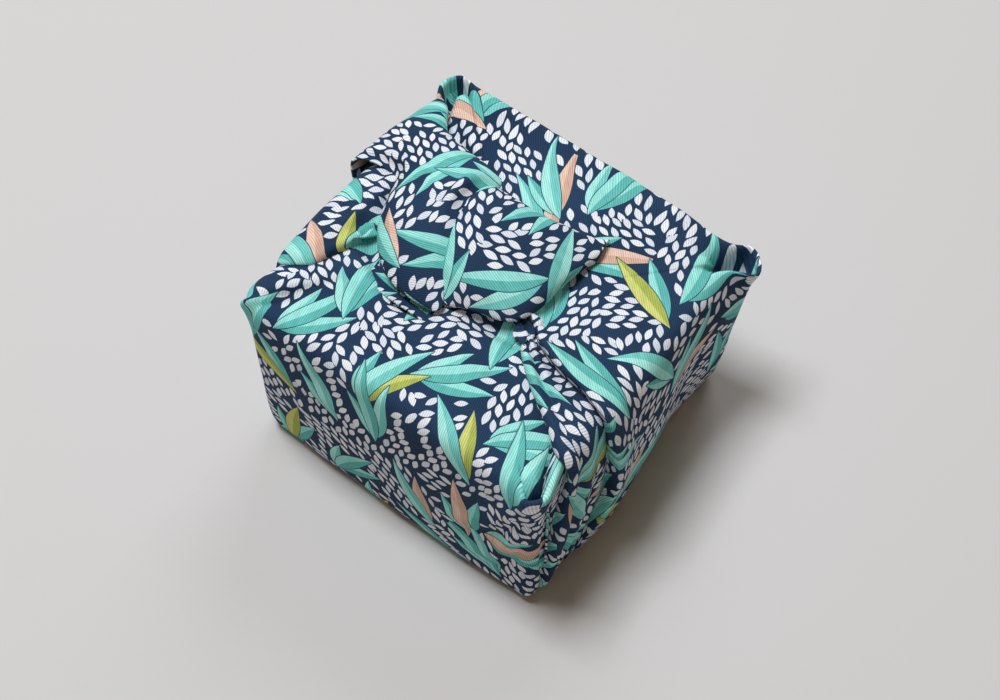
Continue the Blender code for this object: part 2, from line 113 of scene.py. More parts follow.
# Folds round the box. Each row is one line of cloth from the base to the neck: face, place
# along it at the base, the middle and the edge (-1 to 1 is its flat, 2 the next corner),
# angle at the neck, sideways bow over the top, then how far it stands out at the base, the
# middle, the edge, half way in and at the neck.
FOLDS = (
    ("left_corner", 0, -2, -2, -2, 212, 3, -1.4, -1.8, -1.2, 0, 0),
    ("a_start", 0, -1, -1, -1, 220, 0, 0, 0, 0, 0, 0),
    ("a_left", 0, -0.5, -0.5, -0.5, 238, 0, 0.6, 1.4, 0.3, 0.2, 0),
    ("a_middle", 0, 0, 0, 0, 256, 0, 1.4, 1.8, 0.4, 0.4, 0.6),
    ("a_right", 0, 0.5, 0.5, 0.5, 276, 0, 1.4, 1.4, 0.3, 0.2, 0.4),
    ("a_end", 0, 1, 1, 1, 296, 0, 0, 0.2, 0, 0, 0),
    ("near_corner", 0, 2, 2, 2, 304, 0, 1.6, -0.6, 0, 0, 0),
    ("a_wrapped", 1, -1.1, -1.07, -1, 310, 0, 0.8, -1.2, 0, 0, 0),
    ("a_slot", 1, -1.04, -0.99, -0.88, 315, 1, -0.6, -2.2, 0, 0, 0),
    ("d_under", 1, -1, -0.88, -0.76, 319, 2, -1, -1.6, 0, 0, 0.2),
    ("d_nose", 1, -0.98, -0.9, -0.8, 322, 2, 1.4, 3, 2.4, 2.6, 2),
    ("d_over", 1, -0.95, -0.86, -0.76, 326, 2, 2.2, 4.6, 4.6, 4.6, 3.2),
    ("d_trough", 1, -0.9, -0.77, -0.67, 331, 2, 0.6, 0.8, 1.4, 1, 2.4),
    ("d_ridge", 1, -0.86, -0.68, -0.6, 335, 2.4, 1.4, 4.4, 3.6, 3.4, 3.4),
    ("d_shade", 1, -0.8, -0.54, -0.5, 338, 3, 0.2, 0.8, 1.2, 1, 1.6),
    ("d_last", 1, -0.74, -0.46, -0.44, 339.6, 3.6, 1.2, 2, 1, 0.4, 1),
    ("c_under", 1, -0.68, -0.36, -0.39, 341, 4, 0.4, 0.6, 0, 0, 0.4),
    ("c_nose", 1, -0.64, -0.39, -0.42, 344, 4.2, 1.6, 7.4, 5.8, 6.4, 3.4),
    ("c_over", 1, -0.56, -0.33, -0.38, 349, 4, 2.4, 8, 6.4, 6.6, 3.6),
    ("c_fall", 1, -0.3, -0.14, -0.2, 352, 2, 3.6, 3.6, 4.4, 4.6, 2.2),
    ("c_drape", 1, 0, 0.08, 0, 356, 0, 1, 4.6, 3, 2.6, 1.6),
    ("c_drawn", 1, 0.5, 0.5, 0.5, 364, 0, -4, 0.2, 0.8, 0.8, 1.6),
    ("c_mouth", 1, 0.84, 0.85, 0.87, 371, 0, -3.4, 0.8, 0.4, 0.4, 1),
    ("c_end", 1, 1, 1, 1, 376, 0, -2.8, 0.4, 0, 0, 0.6),
    ("right_corner", 1, 2, 2, 2, 382, 0, -2, 1, 0, 0, 0.4),
    ("c_start", 2, -1, -1, -1, 388, 0, 0, 0, 0, 0, 0.4),
    ("c_right", 2, -0.5, -0.5, -0.5, 408, 0, 0, 1, 0.6, 0.4, 0.8),
    ("c_middle", 2, 0, 0, 0, 434, 0, 0, 1.4, 1.2, 0.8, 1.4),
    ("c_left", 2, 0.5, 0.5, 0.5, 460, 0, 0, 1, 1, 1, 1.8),
    ("c_far", 2, 1, 1, 1, 480, 0, 0, 0.4, 0.4, 0.8, 1.8),
    ("far_corner", 2, 2, 2, 2, 488, 0, 0, 0.6, 0, 0.4, 1.6),
    ("b_start", 3, -1, -1, -1, 494, 0, 0, 0.4, 0.6, 0.6, 1.6),
    ("b_far", 3, -0.5, -0.5, -0.5, 500, 0, 0, 1.2, 2.4, 0.8, 0.4),
    ("b_middle", 3, -0.1, -0.1, -0.1, 506, 0, 0, 1.6, 5.8, 2.2, 0.4),
    ("b_roll", 3, 0.3, 0.3, 0.28, 514, 5, 0.4, 2.4, 6, 3.4, 0.6),
    ("b_over", 3, 0.78, 0.74, 0.68, 524, 10, 0.6, 2.8, 5, 4, 0.8),
    ("b_nose", 3, 0.82, 0.8, 0.74, 529, 11, 0.4, 1.6, 2.4, 2.2, 0.4),
    ("b_under", 3, 0.86, 0.78, 0.71, 535, 11, 0, 0, 1.4, 0.2, 0.2),
    ("b_end", 3, 1, 1, 1, 552, 5, 0, 0.6, 4.2, 0, 0),
)
# Columns between each fold and the next
FOLD_STEPS = (2, 2, 2, 2, 2, 3, 3, 1, 1, 1, 1, 2, 2, 1, 1, 1, 1, 1, 1, 2, 2, 3, 3, 3, 3, 2, 2,
              2, 3, 3, 3, 3, 2, 2, 2, 1, 1, 2, 2)
# Rows from the lip of the top edge in to the neck
TOP_STEPS = (0.1, 0.22, 0.35, 0.48, 0.62, 0.76, 0.89, 1.0)

# A folded band is a row of cross sections: near edge, far edge, how high its crown stands,
# its lean outward from straight up, and how deep each edge turns under
LEFT_LOBE = (
    (-62.4, 8, 46, -62.4, 44, 46, 0.4, 90, 0, 0),
    (-64, 6.5, 57, -65, 44, 57, 1.6, 88, 0, 0),
    (-66, 6.5, 67, -66, 46, 67, 1.2, 80, 0, 0),
    (-68.8, 8, 78.8, -64.4, 47.2, 77.6, 0.5, 45, 0.2, 0.4),
    (-63.6, 10.4, 81.2, -57.4, 45.2, 80.2, 2.4, 10, 0.2, 1.6),
    (-57, 12, 80.6, -50.6, 36.4, 81.4, 3.8, 0, 0.2, 2.2),
    (-51.2, 11.6, 80.9, -44, 33.4, 83.6, 4.2, 0, 1, 2.6),
    (-47.8, 2.6, 81.6, -36.4, 31.4, 85.4, 4.8, 0, 2, 2.8),
    (-43.6, -8.4, 81, -29.6, 30.2, 86.6, 5.6, 0, 3.2, 2.8),
    (-36.6, -17.6, 80.2, -24.8, 28.6, 87.4, 6.4, 8, 3.2, 2.6),
    (-24.8, -24.2, 79.4, -22, 27.4, 87.4, 6.8, 18, 2.6, 1.6),
    (-12.6, -24.6, 79.6, -20.2, 26.2, 86.8, 6.6, 36, 1.6, 0.8),
    (-5.6, -21.4, 79.8, -18, 25, 85.4, 5.6, 58, 0.4, 0.2),
    (-8.6, -18.6, 79, -19, 22.4, 82.6, 3.2, 62, 0, 0),
    (-17, -15, 79.4, -25, 18.8, 82, 1.6, 30, 0, 0),
    (-27, -11, 80.2, -32, 16.6, 82, 1.4, 0, 0, 0),
    (-37, -7, 80.4, -40, 14.8, 82.4, 1, 0, 0, 0),
)
RIGHT_LOBE = (
    (-38, -3, 81, -40, 12, 82.4, 0.4, 0, 0, 0),
    (-29, -6, 79.4, -33, 13.4, 80.4, 0.6, 0, 0, 0),
    (-20, -11, 78.6, -28.6, 17.6, 80.2, 1.4, 30, 0, 0),
    (-12.4, -15.4, 78.6, -24.4, 21.4, 82.4, 3, 50, 0.2, 0.6),
    (-7, -18.2, 79.6, -21, 23.8, 86.2, 7.8, 44, 0.8, 1.6),
    (-0.6, -18, 80.4, -13.4, 24.2, 86.6, 8.2, 22, 2, 2.4),
    (7.4, -15.8, 81, -3.6, 24.8, 85.2, 7, 6, 3.4, 3.4),
    (15.6, -14.2, 81.6, 4.8, 26.6, 84, 5.4, 0, 3.8, 4),
    (20.2, -7, 81.6, 10.4, 28.6, 82.6, 4, 0, 3.8, 4),
    (20.8, 4, 80.6, 14.4, 30, 81.2, 2.8, 0, 3, 3),
    (21, 13.4, 80.4, 17.8, 31.2, 80.6, 1.8, 0, 2.4, 2.4),
    (22, 21.6, 80.2, 20.4, 32, 80.2, 1, 0, 1.6, 1.6),
    (23.2, 27.8, 80, 22.2, 32.8, 79.8, 0.5, 0, 0.7, 0.7),
)
# The spare cloth at each corner, folded flat inside the strand side: its face, which end of
# that, widest reach along it, lowest and highest point, how much further in at the base
CORNER_FLAPS = (
    ("near_flap", 1, -1, 44, 6, 66, 0),
    ("right_flap", 1, 1, 42, 6, 60, 5),
    ("far_flap", 3, -1, 43, 6, 64, 0),
    ("left_flap", 3, 1, 45, 6, 66, 0),
)
FLAP_ROWS = 5
FLAP_GAP = 2.2
FLAP_NARROW = 6.0
# Its outline at one height: distance along the face, share of its width more, depth in gaps
FLAP_OUTLINE = (
    (9, 0, 0), (11.5, 0, 1), (11.5, 0.33, 1), (11.5, 0.66, 1), (11.5, 1, 1), (13, 1, 1.5),
    (11.5, 1, 2), (11.5, 0.66, 2), (11.5, 0.33, 2), (11.5, 0, 2), (5.5, 0, 2.6), (0.2, 0, 3.6),
)
# The near-left panel's corner, a tongue lying flat under the knot: its place across the top,
# its left and right edges and its height
TONGUE = (
    (-28, -34, 26, 75.3), (-22, -36, 28, 73.2), (-14, -38, 30, 72.4), (4, -36, 32, 72.2),
    (24, -29, 30, 72.2), (42, -18, 22, 72.2), (54, -8, 12, 72.2),
)
TONGUE_COLUMNS = 4
BAND_ROWS = 2
BAND_COLUMNS = 9
# The edge of a band: how far it runs on flat, how far a tuck drops and runs back, and the
# tuck that turns it right under
HEM_RUN = 0.8
TUCK_DROP = 1.9
TUCK_RUN = 1.2
TUCK_FULL = 2.5
# Below 1, a band is fuller beside its edges
CROWN_SQUARENESS = 0.5

CLOTH_THICKNESS = 0.8
# From the frame of these tables to that of the solid
FRAME_SHIFT = (2.5, -1.55, 0.05)
# Rings that close the base, as shares of the way in
BASE_RINGS = (0.85, 0.55, 0.25)
# How sharp the lines of some folds stay when the facets are smoothed
SHARP_FOLDS = (("d_under", 0.8), ("d_nose", 0.5), ("d_last", 0.4), ("c_under", 0.8),
               ("c_nose", 0.6), ("b_nose", 0.5), ("b_under", 0.7))
# How the cloth is laid flat for its print
CLOTH_MAP = "cloth"
UNWRAP_STEPS = 6
LEAST_LEVEL = 0.02
JUST_PAST = 0.001
# The edge laid flat: the shoulder's height and inset, how many rows turn under at the base,
# and shares from the shoulder to the lip
SHOULDER_HEIGHT = 69.0
FLAT_SHOULDER = -3.3
TURNED_ROWS = 2
FLAT_SHARES = (0.0, 0.28, 0.47, 0.65, 0.83, 1.0)
# The folds where panels start. The near-left one carries on round the near corner.
PANELS = ("b_under", "d_under", "c_under", "b_far")
NEAR_LEFT_PANEL = 0
NEAR_LEFT_END = 6.0
# Each panel's grain: its heading in degrees on the top, and where it lies on the print. The
# last one is the base.
PANEL_GRAINS = ((105, 0j), (75, 190 + 40j), (135, 40 + 210j), (150, -180 + 60j), (105, -200j))
BASE_PANEL = 4
LEFT_GRAIN = (38, -140 - 160j)
RIGHT_GRAIN = (38, 150 - 150j)

# Creases pressed into the cloth: what they are, half width, height, and their line. They
# fade out at both ends.
WRAP_CREASES = (
    ("upper_swoosh", 2.2, 1, ((58, -61, 66), (46, -61, 47), (35, -61, 37), (22, -61, 33))),
    ("upper_hollow", 1.8, -0.9, ((59, -61, 62), (49, -61, 42), (38, -61, 30), (25, -61, 26))),
    ("lower_swoosh", 2.2, 1, ((60, -61, 58), (52, -61, 36), (44, -61, 22), (30, -61, 15))),
    ("lower_hollow", 1.8, -0.9, ((61, -61, 52), (56, -61, 32), (49, -61, 18), (38, -61, 8))),
    ("left_slack", 4, 0.8, ((-50, -61, 60), (-41, -61, 52), (-24, -61, 53), (-7, -61, 50))),
    ("roll_ridge", 2, 1, ((-52, 14, 81), (-52.5, -1, 81), (-53, -18, 81), (-55.5, -33, 80))),
    ("roll_hollow", 1.6, -1.1, ((-54, 14, 80), (-57, 2, 80), (-58, -12, 80), (-59, -30, 79))),
    ("roll_inner", 1.5, -0.9, ((-48.5, 8, 80), (-48.5, -6, 80), (-49, -21, 79.5))),
    ("left_lobe_shade", 3.4, -4.2, (
        (-50, 8, 80), (-45, -3, 79), (-40.5, -14, 78), (-35, -20.5, 77), (-28, -23.5, 77),
        (-21, -27, 77), (-12, -27, 77), (-5, -23, 77))),
    ("right_lobe_shade", 3.2, -3.8, (
        (-6, -20, 77), (2, -18, 77), (12, -16, 77), (20, -16, 78), (23, -7, 79), (23, 4, 79),
        (22, 16, 79), (23, 26, 79))),
    ("far_shade", 2.4, -4.6, (
        (-55, 46, 79), (-49, 38, 79), (-42, 35, 78), (-35, 33, 78), (-28, 32, 78),
        (-22, 29.5, 78))),
    ("roll_pleat", 0.9, -0.9, (
        (-49, 13.6, 81), (-51.5, 7, 81), (-53.2, -4.2, 81), (-53.6, -16.9, 81))),
    ("roll_pleat_low", 0.9, -0.8, (
        (-47.4, 11.8, 81), (-47.1, 4.4, 81), (-46.2, -7.3, 81), (-46, -19.5, 80))),
    ("roll_tuck", 4, -4, ((-50, -10, 79), (-44, -15, 78), (-38, -20, 77))),
    ("slot_side", 3, 0.8, ((-2, -25, 76), (15.5, -33, 76), (33.5, -43, 76), (48.5, -55, 76))),
)
LEFT_CREASES = (
    ("start_shade", 1.8, -3.2, (
        (-24.5, 24, 89), (-25.6, 16, 91), (-25.4, 8, 92), (-22.8, 0, 92), (-18.7, -7.5, 90),
        (-15, -14, 87), (-10.8, -19.9, 84))),
    ("gather", 1.5, -2.4, ((-67, 11.6, 82), (-61, 13.6, 84), (-54.5, 14.6, 84), (-46, 14.6, 86))),
    ("start_hem", 0.9, -0.9, (
        (-52, 37.6, 83), (-58.5, 31.3, 82), (-55, 21, 83.5), (-50.2, 15, 84))),
    ("long_ridge", 2.2, 0.8, ((-46, 16, 87), (-38, 18, 90.5), (-26, 16, 93.5))),
    ("long_hollow", 1.8, -0.8, ((-44, 12, 86), (-34, 10, 90.5), (-20, 6, 92))),
    ("low_ridge", 2, 0.7, ((-40, -10, 85), (-30, -15, 86), (-18, -18, 85))),
)
RIGHT_CREASES = (
    ("start_edge", 1, 0.6, (
        (-21, 22, 89), (-21.4, 12, 91), (-18.6, 1.8, 91), (-14, -7.5, 89), (-9, -15, 85))),
    ("first_ripple", 1.1, -0.7, ((-18, 20, 88), (-11, 18.5, 89), (-3, 17, 89.5))),
    ("second_ripple", 1.1, -0.6, ((-18.5, 16, 89), (-11, 14, 90), (-5, 12, 90.5))),
    ("far_hem", 0.7, -0.6, ((2, 22, 86.5), (9, 24.5, 85), (15.5, 27.5, 82.5), (20.5, 30.5, 81))),
    ("low_hem", 0.8, -0.5, ((2, -12, 84.5), (10, -10.5, 84.5), (16, -5, 84), (17, 6, 82.5))),
)
# Above 1, more of a crease is at its full height
CREASE_FADE = 1.6
# The slack of handled cloth: how far it moves and the size of its bumps
WRAP_SLACK = (0.5, 16.0)
LOBE_SLACK = (0.4, 12.0)

# The print: fans of blades in scattered cells, and rows of small pale leaves
# Fans: spacing, scatter, mean heading and its spread, and how far the root is behind the
# middle; blades: bend, lean, the gap and seam round them, how far away one left out is put
FAN_PITCH = 27.5
FAN_SCATTER = 0.62
FAN_HEADING = 1.45
FAN_SPREAD = 2.6
FAN_ROOT = 14.0
BLADE_BEND = 0.022
BLADE_LEAN = 0.3
BLADE_GAP = 0.3
BLADE_SEAM = 0.1
BLADE_AWAY = 20.0
# How a fan's chance spreads over its blades: for leaving one out, for its colour
LEFT_OUT_CHANCE = (9.1, 0.43)
KIND_CHANCE = (5.7, 0.29)
# What is known of a point: how far inside a blade it is, the blade's half and kind, the two
# nearest patches and how far their border is
FAN_OUTPUTS = ("Inside", "Half", "Kind", "Patch", "Next", "Border")
# Angle from the middle of the fan, length, width, start from the root, share left out
BLADES = (
    (0.02, 33.0, 6.6, 0.0, 0.0), (-0.31, 26.0, 5.9, 2.5, 0.25), (0.36, 20.0, 5.0, 2.0, 0.35),
)
# Small leaves: spacing along and across the rows, length and width, smallest and largest,
# random shift and turn, and the tilt that changes side from row to row
LEAF_PITCH = (5.6, 3.0)
LEAF_SIZE = (5.3, 2.34)
LEAF_GROWTH = (0.88, 1.08)
LEAF_SCATTER = 0.08
LEAF_TURN = 0.2
LEAF_TILT = 0.25
# How far a leaf's middle keeps from blades and from its patch's border, the gap between two
# patches' leaves, and how far away a barred leaf is put
LEAF_CLEAR = 1.0
PATCH_CLEAR = 0.35
PATCH_GAP = 0.5
SAME_PATCH = 0.0001
LEAF_AWAY = 9.0
# How far patches differ in heading, and their waves: height, length of a radian, start
ROW_SPREAD = 3.2
DRIFT_ALONG = ((7.0, 34.0, 0.4), (2.0, 12.0, 1.9))
DRIFT_ACROSS = ((7.0, 24.0, 2.1), (2.0, 9.5, 0.6))
PRINT_SOFTNESS = 0.07
# The cloth: clouds in the ground, streaks in the blades, ribs and threads, with painted shade in
# the rib grooves
CLOUD_SCALE = 0.03
STREAK_SCALE = (0.5, 0.14, 0.0)
STREAK_SHADES = (0.84, 1.16)
RIB_PITCH = 0.75
# How much the painted shade darkens the colour where the ribs and threads lie low
RIB_GROOVE_PAINTED_SHADE = 0.4
RIB_RELIEF = 0.12
RIB_SHARE = 0.5
RIB_WANDER = 0.5
WANDER_SCALE = 0.12
THREAD_SCALE = (6.0, 1.4, 0.0)
ROUGHNESS = (0.74, 0.2)
BUMP_STRENGTH = 0.6
FINISH = (("Specular IOR Level", 0.08), ("Sheen Weight", 0.02), ("Sheen Roughness", 0.4))
# Inputs and output of a mix node for each kind of value
MIX_SLOTS = {"FLOAT": (0, 2, 3, 0), "VECTOR": (0, 4, 5, 1), "RGBA": (0, 6, 7, 2)}


def srgb(red, green, blue):
    """A colour given in 0 to 255, for a shader."""
    shares = [value / 255.0 for value in (red, green, blue)]
    linear = [p / 12.92 if p < 0.04045 else ((p + 0.055) / 1.055) ** 2.4 for p in shares]
    return (*linear, 1.0)


NAVY = srgb(42, 67, 98)
NAVY_DEEP = srgb(32, 52, 78)
PALE = srgb(233, 237, 245)
PALE_COOL = srgb(212, 220, 233)
TEAL_LIGHT = srgb(150, 224, 218)
TEAL_DARK = srgb(98, 184, 180)
# Blades of other colours: the chance they start at, their darker and lighter half
OTHER_BLADES = (
    (0.58, srgb(118, 202, 198), srgb(164, 230, 224)),
    (0.88, srgb(210, 174, 156), srgb(228, 196, 180)),
    (0.96, srgb(170, 182, 92), srgb(204, 210, 124)),
)

# The studio: camera, floor and lights, as name, place, power, size and colour
VIEW_AZIMUTH = 38.0
VIEW_ELEVATION = 56.8
VIEW_DISTANCE = 0.7
VIEW_TARGET = (0.0048, -0.00215, 0.035)
VIEW_LENS = 71.75
CLIP_START = 0.01
FLOOR_REACH = 3.0
FLOOR_ROUGHNESS = 0.9
FLOOR_SPECULAR = 0.2
FLOOR_COLOUR = (205, 204, 206)
SKY_COLOUR = (255, 226, 188)
SKY_STRENGTH = 0.18
LIGHT_TARGET = (0.0, 0.0, 0.03)
LIGHTS = (
    ("window", (-0.46, -0.14, 2.0), 34.5, 0.62, (0.96, 0.98, 1.0)),
    ("far_window", (-0.5, 1.5, 1.4), 11.0, 1.0, (0.92, 0.96, 1.0)),
)


def blend(low, high, share):
    """A value part of the way between two others."""
    return low + (high - low) * share


def ease(share):
    """A soft start and a soft stop between 0 and 1."""
    share = min(1.0, max(0.0, share))
    return share * share * (3.0 - 2.0 * share)


def fold_columns():
    """Lines of cloth round the box, with those between the named folds eased in."""
    columns = []
    for fold, following, steps in zip(FOLDS, FOLDS[1:] + FOLDS[:1], FOLD_STEPS):
        turn, spin = (ROUND, 360.0) if following is FOLDS[0] else (0.0, 0.0)
        here = [FACE_SPAN * fold[1] + 2.0 + place for place in fold[2:5]]
        there = [FACE_SPAN * following[1] + 2.0 + turn + place for place in following[2:5]]
        for step in range(steps):
            share = step / steps
            places = [blend(a, b, share) for a, b in zip(here, there)]
            angle = blend(fold[5], following[5] + spin, share)
            bow = blend(fold[6], following[6], share)
            stands = [blend(a, b, ease(share)) for a, b in zip(fold[7:], following[7:])]
            columns.append((places, math.radians(angle), bow, stands))
    return columns


def face_halves(face):
    """Half the length of a face, and how far it is from the middle."""
    return (HALF_Y, HALF_X) if face % 2 else (HALF_X, HALF_Y)


def outline_point(place, inset):
    """A point on the rounded outline of the box and the way out from it, as x + yj."""
    face = int(place // FACE_SPAN) % 4
    along = place - FACE_SPAN * (place // FACE_SPAN) - 2.0
    run, out = FACES[face]
    drawn = max(0.0, inset - CORNER_RADIUS + SHARPEST_CORNER)
    half_run, half_out = (half - CORNER_RADIUS - drawn for half in face_halves(face))
    side = math.copysign(1.0, along)
    turn = math.radians(45.0) * max(0.0, abs(along) - 1.0) * side
    shift = half_run * min(1.0, abs(along)) * side
    way = run * math.sin(turn) + out * math.cos(turn)
    return run * shift + out * half_out + way * (CORNER_RADIUS + drawn - inset), way


def span_weight(span, place):
    """1 inside a span round the outline, fading to 0 at its ends."""
    start, full, fade, end = span
    turned = place + ROUND if place < 2.0 and end > ROUND else place
    return ease((turned - start) / (full - start)) * ease((end - turned) / (end - fade))


def edge_shape(place, step):
    """Height and inset of the top edge at one step, and how plain the edge is."""
    height, inset = EDGE_SHAPES["plain"][step]
    plain = 1.0
    for name in EAR_SPANS:
        weight = span_weight(EAR_SPANS[name], place)
        height = blend(height, EDGE_SHAPES[name][step][0], weight)
        inset = blend(inset, EDGE_SHAPES[name][step][1], weight)
        plain = min(plain, 1.0 - weight)
    return height, inset, plain


def place_at(values, height):
    """A value of a fold at one height, from those at the base, the middle and the edge."""
    low = blend(values[0], values[1], ease(height / MIDDLE_HEIGHT))
    return blend(low, values[2], ease((height - MIDDLE_HEIGHT) / EDGE_RISE))


def side_point(column, level):
    """A point of the cloth at one level of the sides."""
    places, _, _, stands = column
    height, inset = level
    place = place_at(places, height)
    stand = place_at(stands, height)
    if height < 1.0:
        stand = min(0.0, stand)
    flare = ease((height - FLARE_START) / (FLARE_END - FLARE_START))
    inset -= flare * sum(row[4] * span_weight(row[:4], place) for row in EAR_FLARES)
    point, way = outline_point(place, inset)
    point += way * stand
    return Vector((point.real, point.imag, height))


def edge_point(column, step):
    """A point of the cloth on the turn of the top edge."""
    places, _, _, stands = column
    height, inset, plain = edge_shape(places[2], step)
    point, way = outline_point(places[2], inset)
    tilt = math.radians(90.0) * min(1.0, (step + TILT_START) / TILT_STEPS)
    stand = stands[2] * plain
    point += way * (stand * math.cos(tilt))
    return Vector((point.real, point.imag, height + stand * math.sin(tilt)))


def top_point(column, share):
    """A point of the cloth on its way from the top edge in to the neck."""
    places, angle, bow, stands = column
    lip = edge_point(column, EDGE_STEPS - 1)
    plain = edge_shape(places[2], EDGE_STEPS - 1)[2]
    neck = Vector((NECK_CENTRE[0] + NECK_RADIUS * math.cos(angle),
                   NECK_CENTRE[1] + NECK_RADIUS * math.sin(angle), NECK_HEIGHT + stands[4]))
    across = Vector((lip.y - neck.y, neck.x - lip.x, 0.0)).normalized()
    point = lip.lerp(neck, share) + across * bow * math.sin(math.pi * share)
    middle = stands[3] - blend(stands[2] * plain, stands[4], 0.5)
    point.z += middle * math.sin(math.pi * share)
    return point


def wrap_rows():
    """All the points of the wrapped sheet, row by row from the base to the neck."""
    columns = fold_columns()
    rows = [[side_point(column, level) for column in columns] for level in SIDE_LEVELS]
    rows += [[edge_point(column, step) for column in columns] for step in range(EDGE_STEPS)]
    return rows + [[top_point(column, share) for column in columns] for share in TOP_STEPS]


def turned_edge(corner, out, up, tuck):
    """Two points past the edge of a band: flat without a tuck, turned right under with one."""
    curl = ease(tuck / TUCK_FULL)
    turn = math.pi * curl
    first = out * math.cos(turn / 2.0) - up * math.sin(turn / 2.0)
    second = out * math.cos(turn) - up * math.sin(turn)
    bend = corner + first * blend(HEM_RUN, TUCK_DROP, curl)
    return [bend, bend + second * blend(HEM_RUN, TUCK_RUN + tuck, curl)]


def section_points(section):
    """One cross section of a folded band, from the near turned edge to the far one."""
    near = Vector(section[0:3])
    far = Vector(section[3:6])
    crown, lean, near_tuck, far_tuck = section[6:10]
    up = Vector((-math.sin(math.radians(lean)), 0.0, math.cos(math.radians(lean))))
    across = (far - near).normalized()
    points = turned_edge(near, -across, up, near_tuck)[::-1]
    for index in range(BAND_COLUMNS + 1):
        share = index / BAND_COLUMNS
        lift = crown * max(0.0, math.sin(math.pi * share)) ** CROWN_SQUARENESS
        points.append(near.lerp(far, share) + up * lift)
    return points + turned_edge(far, across, up, far_tuck)


def band_rows(table):
    """A folded band run smoothly through its table of cross sections."""
    rows = []
    last = len(table) - 1
    for index in range(last):
        around = [table[max(0, index - 1)], table[index], table[index + 1],
                  table[min(last, index + 2)]]
        for step in range(BAND_ROWS):
            t = step / BAND_ROWS
            section = [0.5 * (2.0 * b + (c - a) * t + (2.0 * a - 5.0 * b + 4.0 * c - d) * t * t
                              + (3.0 * b - a - 3.0 * c + d) * t ** 3)
                       for a, b, c, d in zip(*around)]
            rows.append(section_points(section))
    rows.append(section_points(table[last]))
    return rows


def flap_point(face, end, along, depth, height):
    """A point inside one face: along it from its corner, and in from its cloth."""
    run, out = FACES[face]
    half_run, half_out = face_halves(face)
    inset = side_inset(height)
    spot = run * end * (half_run - inset - along) + out * (half_out - (inset + depth))
    return Vector((spot.real, spot.imag, height))


def side_inset(height):
    """How far the side sits in from the top outline at one height."""
    for (low, inset), (high, following) in zip(SIDE_LEVELS[1:], SIDE_LEVELS[2:]):
        if height <= high:
            return blend(inset, following, max(0.0, (height - low) / (high - low)))
    return SIDE_LEVELS[-1][1]


def flap_rows(face, end, widest, low, high, behind):
    """Two layers of spare cloth, folded double and widening upward from the base corner."""
    rows = []
    for index in range(FLAP_ROWS):
        share = index / (FLAP_ROWS - 1)
        height = blend(low, high, share)
        width = blend(FLAP_NARROW, widest, share)
        further = behind * (1.0 - share)
        rows.append([flap_point(face, end, along + width * part, gaps * FLAP_GAP + further, height)
                     for along, part, gaps in FLAP_OUTLINE])
    return rows


def tongue_rows():
    """The hidden corner of the near-left panel."""
    shares = [index / TONGUE_COLUMNS for index in range(TONGUE_COLUMNS + 1)]
    return [[Vector((blend(left, right, share), across, height)) for share in shares]
            for across, left, right, height in TONGUE]


def grid_object(name, rows, closed, collection):
    """A mesh object from rows of points in millimetres, joined round when it is closed."""
    count = len(rows[0])
    faces = []
    for here in range(0, count * (len(rows) - 1), count):
        above = here + count
        for column in range(count if closed else count - 1):
            beside = (column + 1) % count
            faces.append((here + column, here + beside, above + beside, above + column))
    if closed:
        faces.append(tuple(reversed(range(count))))
    mesh = bpy.data.meshes.new(name)
    mesh.from_pydata([tuple(point * MM) for row in rows for point in row], [], faces)
    mesh.update()
    built = bpy.data.objects.new(name, mesh)
    collection.objects.link(built)
    return built


def feed(socket, value):
    """Give a socket a number, or the output of another node."""
    if isinstance(value, Value):
        value.tree.links.new(value.socket, socket)
    else:
        socket.default_value = value


def node(tree, kind, values=(), **settings):
    """A new node with its first inputs fed in order."""
    made = tree.nodes.new(kind)
    for key, value in settings.items():
        setattr(made, key, value)
    for socket, value in zip(made.inputs, values):
        feed(socket, value)
    return made


def tree_of(values):
    """The node tree that some values belong to."""
    return next(value.tree for value in values if isinstance(value, Value))


def calc(operation, *values, clamp=False):
    """One step of arithmetic in a shader."""
    made = node(tree_of(values), "ShaderNodeMath", values, operation=operation, use_clamp=clamp)
    return Value(made.outputs[0])


def mix(share, a, b, kind="FLOAT", how="MIX"):
    """The number, point or colour a where the share is 0, and b where it is 1."""
    made = node(tree_of((share, a, b)), "ShaderNodeMix", data_type=kind, blend_type=how)
    *slots, output = MIX_SLOTS[kind]
    for slot, value in zip(slots, (share, a, b)):
        feed(made.inputs[slot], value)
    return Value(made.outputs[output])


